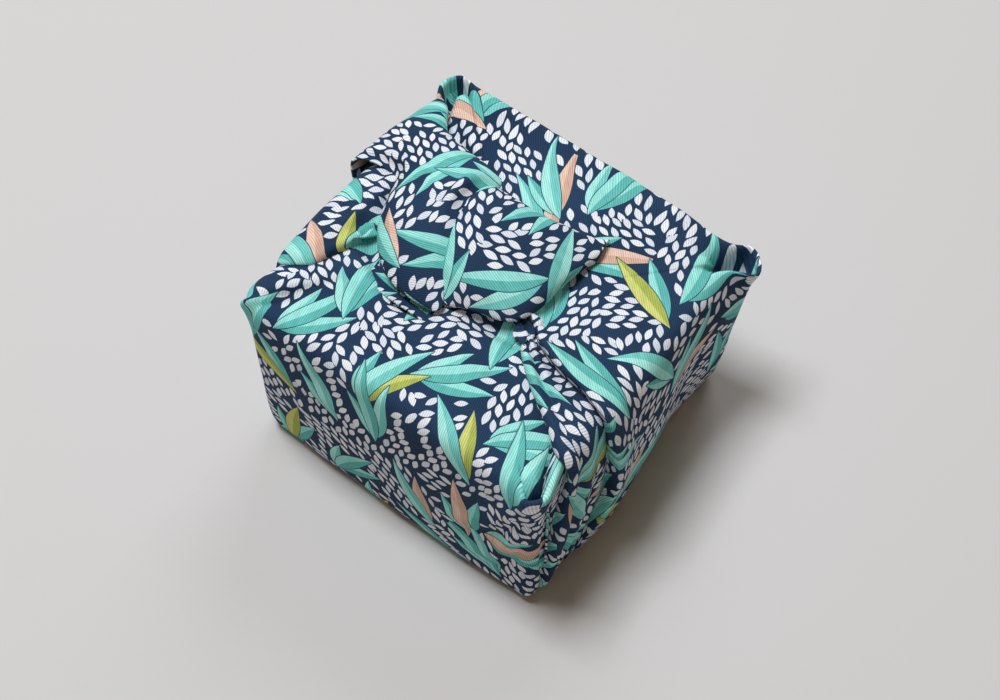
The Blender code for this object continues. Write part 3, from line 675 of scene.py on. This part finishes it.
class Value:
    """An output of a shader node. Sums on it add nodes, so a pattern reads as a formula."""

    def __init__(self, socket):
        self.socket = socket
        self.tree = socket.id_data

    def made(self, kind, values, output=0, **settings):
        return Value(node(self.tree, kind, values, **settings).outputs[output])

    def __add__(self, other):
        return calc("ADD", self, other)

    def __sub__(self, other):
        return calc("SUBTRACT", self, other)

    def __rsub__(self, other):
        return calc("SUBTRACT", other, self)

    def __mul__(self, other):
        return calc("MULTIPLY", self, other)

    def __gt__(self, other):
        return calc("GREATER_THAN", self, other)

    def __lt__(self, other):
        return calc("LESS_THAN", self, other)

    def __abs__(self):
        return calc("ABSOLUTE", self)

    def shaded(self, value):
        """This colour times a number."""
        grey = self.made("ShaderNodeCombineColor", (value, value, value))
        return mix(1.0, self, grey, "RGBA", "MULTIPLY")

    def step(self, softness):
        """0 below 0 and 1 above, with a soft step between."""
        made = node(self.tree, "ShaderNodeMapRange", (self,), interpolation_type="SMOOTHSTEP")
        made.inputs["From Min"].default_value = -softness
        made.inputs["From Max"].default_value = softness
        return Value(made.outputs[0])

    def split(self):
        """The three numbers of a point or a colour."""
        return [Value(each) for each in node(self.tree, "ShaderNodeSeparateXYZ", (self,)).outputs]

    def join(self, y):
        """The point with this x and that y."""
        return self.made("ShaderNodeCombineXYZ", (self, y))

    def turned(self, y, angle):
        """The point with this x and that y, seen from axes turned by an angle."""
        cos, sin = calc("COSINE", angle), calc("SINE", angle)
        return self * cos + y * sin, y * cos - self * sin

    def scaled(self, factors):
        return self.made("ShaderNodeVectorMath", (self, factors), "Vector", operation="MULTIPLY")

    def distance(self, other):
        return self.made("ShaderNodeVectorMath", (self, other), "Value", operation="DISTANCE")

    def cells(self, feature):
        """The middle of the nearest cell, or the next nearest, and its random colour."""
        made = node(self.tree, "ShaderNodeTexVoronoi", (self,), voronoi_dimensions="2D",
                    feature=feature)
        made.inputs["Scale"].default_value = 1.0
        made.inputs["Randomness"].default_value = FAN_SCATTER
        return Value(made.outputs["Position"]), Value(made.outputs["Color"])

    def chance(self):
        """A random colour for each whole-numbered point."""
        return self.made("ShaderNodeTexWhiteNoise", (self,), "Color", noise_dimensions="2D")

    def noise(self, scale, detail):
        made = node(self.tree, "ShaderNodeTexNoise", (self,), noise_dimensions="2D")
        made.inputs["Scale"].default_value = scale
        made.inputs["Detail"].default_value = detail
        return Value(made.outputs[0])


def chance_of(value, index, spread):
    """The chance of one blade, worked out from its fan's."""
    factor, step = spread
    return calc("FRACT", value * factor + step * index)


def fan_blades(point, centre, colour):
    """The blades of one fan: how far inside each a point is, its lighter half and its kind."""
    away = point.made("ShaderNodeVectorMath", (point, centre), "Vector", operation="SUBTRACT")
    x, y, _ = away.split()
    red, green, blue = colour.split()
    heading = (red - 0.5) * FAN_SPREAD + FAN_HEADING
    along, across = (x * FAN_PITCH).turned(y * FAN_PITCH, heading)
    along += FAN_ROOT
    bend = (green - 0.5) * BLADE_BEND
    lean = (blue - 0.5) * BLADE_LEAN
    blades = []
    for index, (angle, length, width, start, sparse) in enumerate(BLADES):
        u, v = along.turned(across, lean + angle)
        u -= start
        v -= bend * (u * u)
        share = calc("DIVIDE", u, length, clamp=True)
        bulge = share * (1.0 - share) * (5.0 - share * 2.0)
        past = calc("MAXIMUM", u * -1.0, u - length)
        inside = bulge * (0.5 * width) - abs(v) - calc("MAXIMUM", past, 0.0)
        inside -= (chance_of(red, index, LEFT_OUT_CHANCE) < sparse) * BLADE_AWAY
        blades.append((inside, v.step(BLADE_SEAM), chance_of(green, index, KIND_CHANCE)))
    return blades


def fan_group():
    """Fans of blades scattered over the cloth, laid over one another in a fixed order."""
    tree = bpy.data.node_groups.new("leaf_fans", "ShaderNodeTree")
    tree.interface.new_socket("Point", in_out="INPUT", socket_type="NodeSocketVector")
    for name in FAN_OUTPUTS:
        tree.interface.new_socket(name, in_out="OUTPUT", socket_type="NodeSocketFloat")
    point = Value(node(tree, "NodeGroupInput").outputs["Point"])
    point = point.scaled((1.0 / FAN_PITCH, 1.0 / FAN_PITCH, 0.0))
    near, near_colour = point.cells("F1")
    next_, next_colour = point.cells("F2")
    swap = next_colour.split()[0] > near_colour.split()[0]
    blades = fan_blades(point, mix(swap, near, next_, "VECTOR"),
                        mix(swap, near_colour, next_colour, "RGBA"))
    blades += fan_blades(point, mix(swap, next_, near, "VECTOR"),
                         mix(swap, next_colour, near_colour, "RGBA"))
    best, half, kind = blades[0]
    for inside, side, tint in blades[1:]:
        showing = calc("MINIMUM", inside, -BLADE_GAP - best)
        take = showing > best
        half = mix(take, half, side)
        kind = mix(take, kind, tint)
        best = calc("MAXIMUM", best, showing)
    border = (point.distance(next_) - point.distance(near)) * (0.5 * FAN_PITCH)
    patch, following = near_colour.split()[1], next_colour.split()[1]
    node(tree, "NodeGroupOutput", (best, half, kind, patch, following, border))
    return tree


def use_fans(group, point):
    """The fans of blades and the patches at one point of the cloth."""
    used = node(point.tree, "ShaderNodeGroup", (point,), node_tree=group)
    return [Value(each) for each in used.outputs]


def waves(value, rows):
    """A sum of two long waves and its slope."""
    heights, slopes = [], []
    for reach, length, start in rows:
        phase = value * (1.0 / length) + start
        heights.append(calc("SINE", phase) * reach)
        slopes.append(calc("COSINE", phase) * (reach / length))
    return heights[0] + heights[1], slopes[0] + slopes[1]


def small_leaves(group, point, patch):
    """How far inside a small pale leaf of one patch a point is.

    The rows of a patch run its own way, straight on a sheared copy of the cloth, so they
    wander in waves and keep their spacing. There is no leaf where its middle is outside the
    patch, near its border or has a blade in its way.
    """
    x, y, _ = point.split()
    course = (patch - 0.5) * ROW_SPREAD
    x, y = x.turned(y, course)
    moved_x = x + waves(y, DRIFT_ALONG)[0]
    moved_y = y + waves(moved_x, DRIFT_ACROSS)[0]
    ranked_y = calc("ROUND", moved_y * (1.0 / LEAF_PITCH[1]))
    odd = calc("PINGPONG", ranked_y, 1.0)
    ranked_x = calc("ROUND", moved_x * (1.0 / LEAF_PITCH[0]) + odd * 0.5)
    red, green, blue = ranked_x.join(ranked_y).chance().split()
    home_x = (ranked_x - odd * 0.5 + (blue - 0.5) * LEAF_SCATTER) * LEAF_PITCH[0]
    drop, rise = waves(home_x, DRIFT_ACROSS)
    home_y = ranked_y * LEAF_PITCH[1] - drop
    push, lean = waves(home_y, DRIFT_ALONG)
    home_x -= push
    heading = calc("ARCTAN2", rise * -1.0, rise * lean + 1.0)
    heading += (red - 0.5) * LEAF_TURN
    heading += (odd - 0.5) * (2.0 * LEAF_TILT)
    along, across = (x - home_x).turned(y - home_y, heading)
    grown = mix(green, *LEAF_GROWTH)
    share = calc("DIVIDE", along, grown * (0.5 * LEAF_SIZE[0]))
    inside = (1.0 - share * share) * (grown * (0.5 * LEAF_SIZE[1])) - abs(across)
    back_x, back_y = home_x.turned(home_y, course * -1.0)
    in_way, _, _, home_patch, _, border = use_fans(group, back_x.join(back_y))
    barred = (in_way > -LEAF_CLEAR) + (abs(home_patch - patch) > SAME_PATCH)
    barred += border < PATCH_CLEAR
    return inside - barred * LEAF_AWAY, blue


def cotton_material():
    """Ribbed cotton printed with blades, small leaves and a navy ground, with painted shade in the
    rib grooves.
    """
    material = bpy.data.materials.new("printed_cotton")
    material.use_nodes = True
    tree = material.node_tree
    shader = tree.nodes["Principled BSDF"]
    point = Value(node(tree, "ShaderNodeUVMap", uv_map=CLOTH_MAP).outputs[0])
    point = point.scaled((1.0 / MM, 1.0 / MM, 0.0))
    group = fan_group()
    inside, half, kind, patch, following, _ = use_fans(group, point)
    leaf, shade = small_leaves(group, point, patch)
    strayed, _ = small_leaves(group, point, following)
    leaf = calc("MAXIMUM", leaf, calc("MINIMUM", strayed, -PATCH_GAP - leaf))

    ground = mix(point.noise(CLOUD_SCALE, 0.0), NAVY_DEEP, NAVY, "RGBA")
    pale = mix(shade, PALE, PALE_COOL, "RGBA")
    leaf_mask = leaf.step(PRINT_SOFTNESS) * (inside < -BLADE_GAP)
    colour = mix(leaf_mask, ground, pale, "RGBA")
    blade = mix(half, TEAL_DARK, TEAL_LIGHT, "RGBA")
    for low, dark, light in OTHER_BLADES:
        blade = mix(kind > low, blade, mix(half, dark, light, "RGBA"), "RGBA")
    streak = point.scaled(STREAK_SCALE).noise(1.0, 1.0)
    blade = blade.shaded(mix(streak, *STREAK_SHADES))
    colour = mix(inside.step(PRINT_SOFTNESS), colour, blade, "RGBA")

    across = point.split()[0] + point.noise(WANDER_SCALE, 1.0) * RIB_WANDER
    rib = calc("SINE", across * (2.0 * math.pi / RIB_PITCH))
    thread = point.scaled(THREAD_SCALE).noise(1.0, 2.0)
    weave = rib * RIB_SHARE + (thread - 0.5)
    # Painted shade: the colour is darker where the ribs and threads lie lower, as shade in the
    # grooves would make it
    colour = colour.shaded(weave * RIB_GROOVE_PAINTED_SHADE + 1.0)
    feed(shader.inputs["Base Color"], colour)
    rough, threads = ROUGHNESS
    feed(shader.inputs["Roughness"], thread * threads + rough)
    for name, value in FINISH:
        shader.inputs[name].default_value = value
    bump = node(tree, "ShaderNodeBump")
    bump.inputs["Strength"].default_value = BUMP_STRENGTH
    bump.inputs["Distance"].default_value = RIB_RELIEF * MM
    feed(bump.inputs["Height"], weave)
    feed(shader.inputs["Normal"], Value(bump.outputs[0]))
    return material


def column_of(name):
    """The first line of cloth of a named fold."""
    names = [fold[0] for fold in FOLDS]
    return sum(FOLD_STEPS[:names.index(name)])


def wrap_sheet(collection):
    """The wrapped sheet with its base, and the panel of the print that each face lies on."""
    rows = wrap_rows()
    middle = Vector((0.0, 0.0, rows[0][0].z))
    rows = [[point.lerp(middle, share) for point in rows[0]] for share in BASE_RINGS] + rows
    built = grid_object("wrap", rows, True, collection)
    mesh = built.data
    count = len(rows[0])
    base = len(BASE_RINGS)
    sharp = mesh.attributes.new("crease_edge", "FLOAT", "EDGE")
    keen = {column_of(name): amount for name, amount in SHARP_FOLDS}
    for edge in mesh.edges:
        (row, column), (_, other) = (divmod(vertex, count) for vertex in edge.vertices)
        if column == other and row > base:
            sharp.data[edge.index].value = keen.get(column, 0.0)
    starts = sorted((column_of(name), index) for index, name in enumerate(PANELS))
    panels = []
    for face in mesh.polygons:
        row, column = divmod(face.index, count)
        inside = [index for start, index in starts if start <= column]
        panels.append(BASE_PANEL if row < base or len(face.vertices) > 4
                      else (inside[-1] if inside else starts[-1][1]))
    return built, rows, panels


def outline_length(place):
    """Distance round the outline of the box to a place on it."""
    face, along = divmod(place, FACE_SPAN)
    arc = math.radians(45.0) * CORNER_RADIUS
    halves = [face_halves(index)[0] - CORNER_RADIUS + arc for index in range(int(face) + 1)]
    along -= 2.0
    flat = (halves[-1] - arc) * min(1.0, max(-1.0, along))
    turned = arc * math.copysign(max(0.0, abs(along) - 1.0), along)
    return 2.0 * sum(halves) - halves[-1] + flat + turned


def folded_out(point, places, row, face):
    """Where a point of the sheet lies when its face is folded out level with the top."""
    run, out = FACES[face]
    level = row - len(BASE_RINGS)
    step = level - len(SIDE_LEVELS)
    if step >= EDGE_STEPS:
        return complex(point.x, point.y)
    if step < 0:
        height, turned = SIDE_LEVELS[level]
        inset = FLAT_SHOULDER - (SHOULDER_HEIGHT - height)
        if level < TURNED_ROWS:
            inset -= 0.5 * turned
        share = 0.0
        place = place_at(places, height)
    else:
        share = FLAT_SHARES[step]
        place = places[2]
        inset = blend(FLAT_SHOULDER, edge_shape(place, EDGE_STEPS - 1)[1], share)
    spot = outline_point(place, max(0.0, inset))[0] - out * min(0.0, inset)
    past = outline_length(place) - outline_length(FACE_SPAN * (face + 1))
    if past > 0.0:
        corner = outline_point(FACE_SPAN * (face + 1) - JUST_PAST, 0.0)[0]
        spot = blend(corner + run * past - out * inset, spot, share)
    return spot


def lay_wrap(built, rows, panels):
    """Print the wrapped sheet: every panel folded out flat and laid over the pattern."""
    mesh = built.data
    columns = fold_columns()
    count = len(columns)
    layer = mesh.uv_layers.new(name=CLOTH_MAP)
    starts = [column_of(name) for name in PANELS]
    slack = {}
    for panel, start in enumerate(starts):
        total = 0j
        following = min((other for other in starts if other > start), default=min(starts) + count)
        for index in range(start, following + 1):
            slack[panel, index] = total
            here, there = columns[index % count], columns[(index + 1) % count]
            place = here[0][2] + ROUND * (index // count)
            following_place = there[0][2] + ROUND * ((index + 1) // count)
            width = outline_length(following_place) - outline_length(place)
            real = math.hypot(width, there[3][2] - here[3][2])
            total += FACES[int(place // FACE_SPAN) % 4][0] * (real - width)
    for polygon in mesh.polygons:
        panel = panels[polygon.index]
        heading, shift = PANEL_GRAINS[panel]
        turn = np.exp(1j * math.radians(90.0 - heading))
        middle = columns[polygon.index % count][0][2] + JUST_PAST
        carried_on = panel == NEAR_LEFT_PANEL and middle < NEAR_LEFT_END
        face = 0 if carried_on else int(middle // FACE_SPAN) % 4
        for loop in polygon.loop_indices:
            row, index = divmod(mesh.loops[loop].vertex_index, count)
            point = rows[row][index]
            if panel == BASE_PANEL:
                spot = complex(point.x, point.y)
            else:
                spot = folded_out(point, columns[index][0], row, face)
                spot += slack[panel, index if index >= starts[panel] else index + count]
            spot = spot * turn + shift
            layer.data[loop].uv = (spot.real * MM, spot.imag * MM)


def unwrap(built):
    """Lay the sheet flat with as little stretch as it can have."""
    bpy.context.view_layer.objects.active = built
    built.select_set(True)
    bpy.ops.object.mode_set(mode="EDIT")
    bpy.ops.mesh.select_all(action="SELECT")
    bpy.ops.uv.unwrap(method="MINIMUM_STRETCH", iterations=UNWRAP_STEPS)
    bpy.ops.object.mode_set(mode="OBJECT")
    built.select_set(False)


def flat_area(corners):
    """Area of a flat polygon with complex corners."""
    x, y = corners.real, corners.imag
    return 0.5 * abs(float(np.dot(x, np.roll(y, -1)) - np.dot(y, np.roll(x, -1))))


def lay_panel(built, heading, shift):
    """Bring an unwrapped band to real size, its grain turned as on the top of the wrap."""
    mesh = built.data
    layer = mesh.uv_layers.active
    layer.name = CLOTH_MAP
    uv = np.zeros(2 * len(mesh.loops))
    layer.data.foreach_get("uv", uv)
    flat = uv[0::2] + 1j * uv[1::2]
    corners = [mesh.vertices[loop.vertex_index] for loop in mesh.loops]
    plan = np.array([corner.co.x + 1j * corner.co.y for corner in corners])
    level = np.array([max(LEAST_LEVEL, corner.normal.z) ** 2 for corner in corners])
    solid = sum(face.area for face in mesh.polygons)
    area = sum(flat_area(flat[list(face.loop_indices)]) for face in mesh.polygons)
    middle, plan_middle = np.average(flat, weights=level), np.average(plan, weights=level)
    turn = np.sum(level * np.conj(flat - middle) * (plan - plan_middle))
    turn *= np.exp(1j * math.radians(90.0 - heading)) / abs(turn)
    laid = (flat - middle) * turn * math.sqrt(solid / area) + shift * MM
    uv[0::2], uv[1::2] = laid.real, laid.imag
    layer.data.foreach_set("uv", uv)


def rounded(built, levels):
    """The mesh of a sheet with its facets smoothed into cloth."""
    modifier = built.modifiers.new("rounding", "SUBSURF")
    modifier.levels = levels
    modifier.render_levels = levels
    evaluated = built.evaluated_get(bpy.context.evaluated_depsgraph_get())
    mesh = bpy.data.meshes.new_from_object(evaluated)
    mesh.name = built.name + "_rounded"
    return mesh


def sheet_points(mesh):
    """The points of a sheet in millimetres and the way out at each."""
    count = len(mesh.vertices)
    places, normals = np.zeros(3 * count), np.zeros(3 * count)
    mesh.vertices.foreach_get("co", places)
    mesh.vertices.foreach_get("normal", normals)
    return places.reshape(-1, 3) / MM, normals.reshape(-1, 3)


def move_out(mesh, places, normals, lift):
    """Move every point of a sheet outward by its own lift."""
    places += normals * lift[:, None]
    mesh.vertices.foreach_set("co", (places * MM).ravel())
    mesh.update()


def press_creases(mesh, creases):
    """Push soft ridges and troughs into the sheet along short listed lines."""
    places, normals = sheet_points(mesh)
    count = len(places)
    lift = np.zeros(count)
    for _, width, height, line in creases:
        spots = np.array(line, float)
        runs = np.linalg.norm(np.diff(spots, axis=0), axis=1)
        travelled = np.concatenate(([0.0], np.cumsum(runs)))
        nearest, share = np.full(count, 1e9), np.zeros(count)
        for start, end, before, run in zip(spots[:-1], spots[1:], travelled, runs):
            way = (end - start) / run
            along = np.clip((places - start) @ way, 0.0, run)
            away = np.linalg.norm(places - start - along[:, None] * way, axis=1)
            closer = away < nearest
            nearest = np.where(closer, away, nearest)
            share = np.where(closer, (before + along) / travelled[-1], share)
        fade = np.clip(4.0 * share * (1.0 - share) * CREASE_FADE, 0.0, 1.0)
        lift += height * fade * np.exp(-(nearest / width) ** 2)
    move_out(mesh, places, normals, lift)


def roughen(mesh, reach, size):
    """Make the sheet a little uneven, as handled cloth is."""
    places, normals = sheet_points(mesh)
    bumps = np.array([noise.noise(Vector(spot)) for spot in places / size])
    move_out(mesh, places, normals, bumps * reach)


def build_cloth():
    """All the folded parts of the cloth as one thin sheet."""
    scratch = bpy.data.collections.new("folding")
    bpy.context.scene.collection.children.link(scratch)
    wrap, rows, panels = wrap_sheet(scratch)
    lay_wrap(wrap, rows, panels)
    meshes = [rounded(wrap, 2)]
    press_creases(meshes[0], WRAP_CREASES)
    roughen(meshes[0], *WRAP_SLACK)
    for name, table, grain, creases in (("left_lobe", LEFT_LOBE, LEFT_GRAIN, LEFT_CREASES),
                                        ("right_lobe", RIGHT_LOBE, RIGHT_GRAIN, RIGHT_CREASES)):
        lobe = grid_object(name, band_rows(table), False, scratch)
        unwrap(lobe)
        lay_panel(lobe, *grain)
        meshes.append(rounded(lobe, 2))
        press_creases(meshes[-1], creases)
        roughen(meshes[-1], *LOBE_SLACK)
    hidden = [grid_object("tongue", tongue_rows(), False, scratch)]
    hidden += [grid_object(row[0], flap_rows(*row[1:]), False, scratch) for row in CORNER_FLAPS]
    for part in hidden:
        unwrap(part)
        lay_panel(part, *LEFT_GRAIN)
        meshes.append(rounded(part, 1))
    whole = bmesh.new()
    for mesh in meshes:
        whole.from_mesh(mesh)
    bmesh.ops.translate(whole, verts=whole.verts, vec=Vector(FRAME_SHIFT) * MM)
    for face in whole.faces:
        face.smooth = True
    mesh = bpy.data.meshes.new("folded_cotton")
    whole.to_mesh(mesh)
    whole.free()
    for built in list(scratch.objects):
        bpy.data.objects.remove(built, do_unlink=True)
    bpy.data.collections.remove(scratch)
    cloth = new_object("folded_cotton", mesh)
    solidify = cloth.modifiers.new("cloth_thickness", "SOLIDIFY")
    solidify.thickness = CLOTH_THICKNESS * MM
    solidify.offset = 0.0
    cloth.data.materials.append(cotton_material())
    return cloth


def new_object(name, data):
    """An object put in the scene."""
    made = bpy.data.objects.new(name, data)
    bpy.context.scene.collection.objects.link(made)
    return made


def aim(thing, target):
    """Point a camera or a light at a spot."""
    thing.rotation_euler = (target - thing.location).to_track_quat("-Z", "Y").to_euler()


def make_camera():
    """The view from above the near corner."""
    azimuth, elevation = math.radians(VIEW_AZIMUTH), math.radians(VIEW_ELEVATION)
    back = Vector((math.sin(azimuth) * math.cos(elevation),
                   -math.cos(azimuth) * math.cos(elevation), math.sin(elevation)))
    target = Vector(VIEW_TARGET)
    data = bpy.data.cameras.new("camera")
    camera = new_object("camera", data)
    camera.location = target + back * VIEW_DISTANCE
    aim(camera, target)
    data.lens = VIEW_LENS
    data.clip_start = CLIP_START
    bpy.context.scene.camera = camera


def soft_light(name, place, power, size, colour):
    """One large studio light."""
    data = bpy.data.lights.new(name, "AREA")
    data.energy = power
    data.size = size
    data.color = colour
    lamp = new_object(name, data)
    lamp.location = Vector(place)
    aim(lamp, Vector(LIGHT_TARGET))


def make_floor():
    """A plain pale floor."""
    mesh = bpy.data.meshes.new("floor")
    corners = ((-1, -1), (1, -1), (1, 1), (-1, 1))
    mesh.from_pydata([(x * FLOOR_REACH, y * FLOOR_REACH, 0.0) for x, y in corners], [],
                     [(0, 1, 2, 3)])
    floor = new_object("floor", mesh)
    material = bpy.data.materials.new("pale_floor")
    material.use_nodes = True
    shader = material.node_tree.nodes["Principled BSDF"]
    shader.inputs["Base Color"].default_value = srgb(*FLOOR_COLOUR)
    shader.inputs["Roughness"].default_value = FLOOR_ROUGHNESS
    shader.inputs["Specular IOR Level"].default_value = FLOOR_SPECULAR
    mesh.materials.append(material)


def make_world():
    """Soft light from all round."""
    world = bpy.data.worlds.new("studio")
    bpy.context.scene.world = world
    world.use_nodes = True
    background = world.node_tree.nodes["Background"]
    background.inputs[0].default_value = srgb(*SKY_COLOUR)
    background.inputs[1].default_value = SKY_STRENGTH


def main():
    """The whole scene."""
    make_camera()
    make_world()
    make_floor()
    for row in LIGHTS:
        soft_light(*row)
    bpy.context.scene.view_settings.view_transform = "Standard"
    cloth = build_cloth()
    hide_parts("furoshiki_cloth")
    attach(cloth, "root")


main()
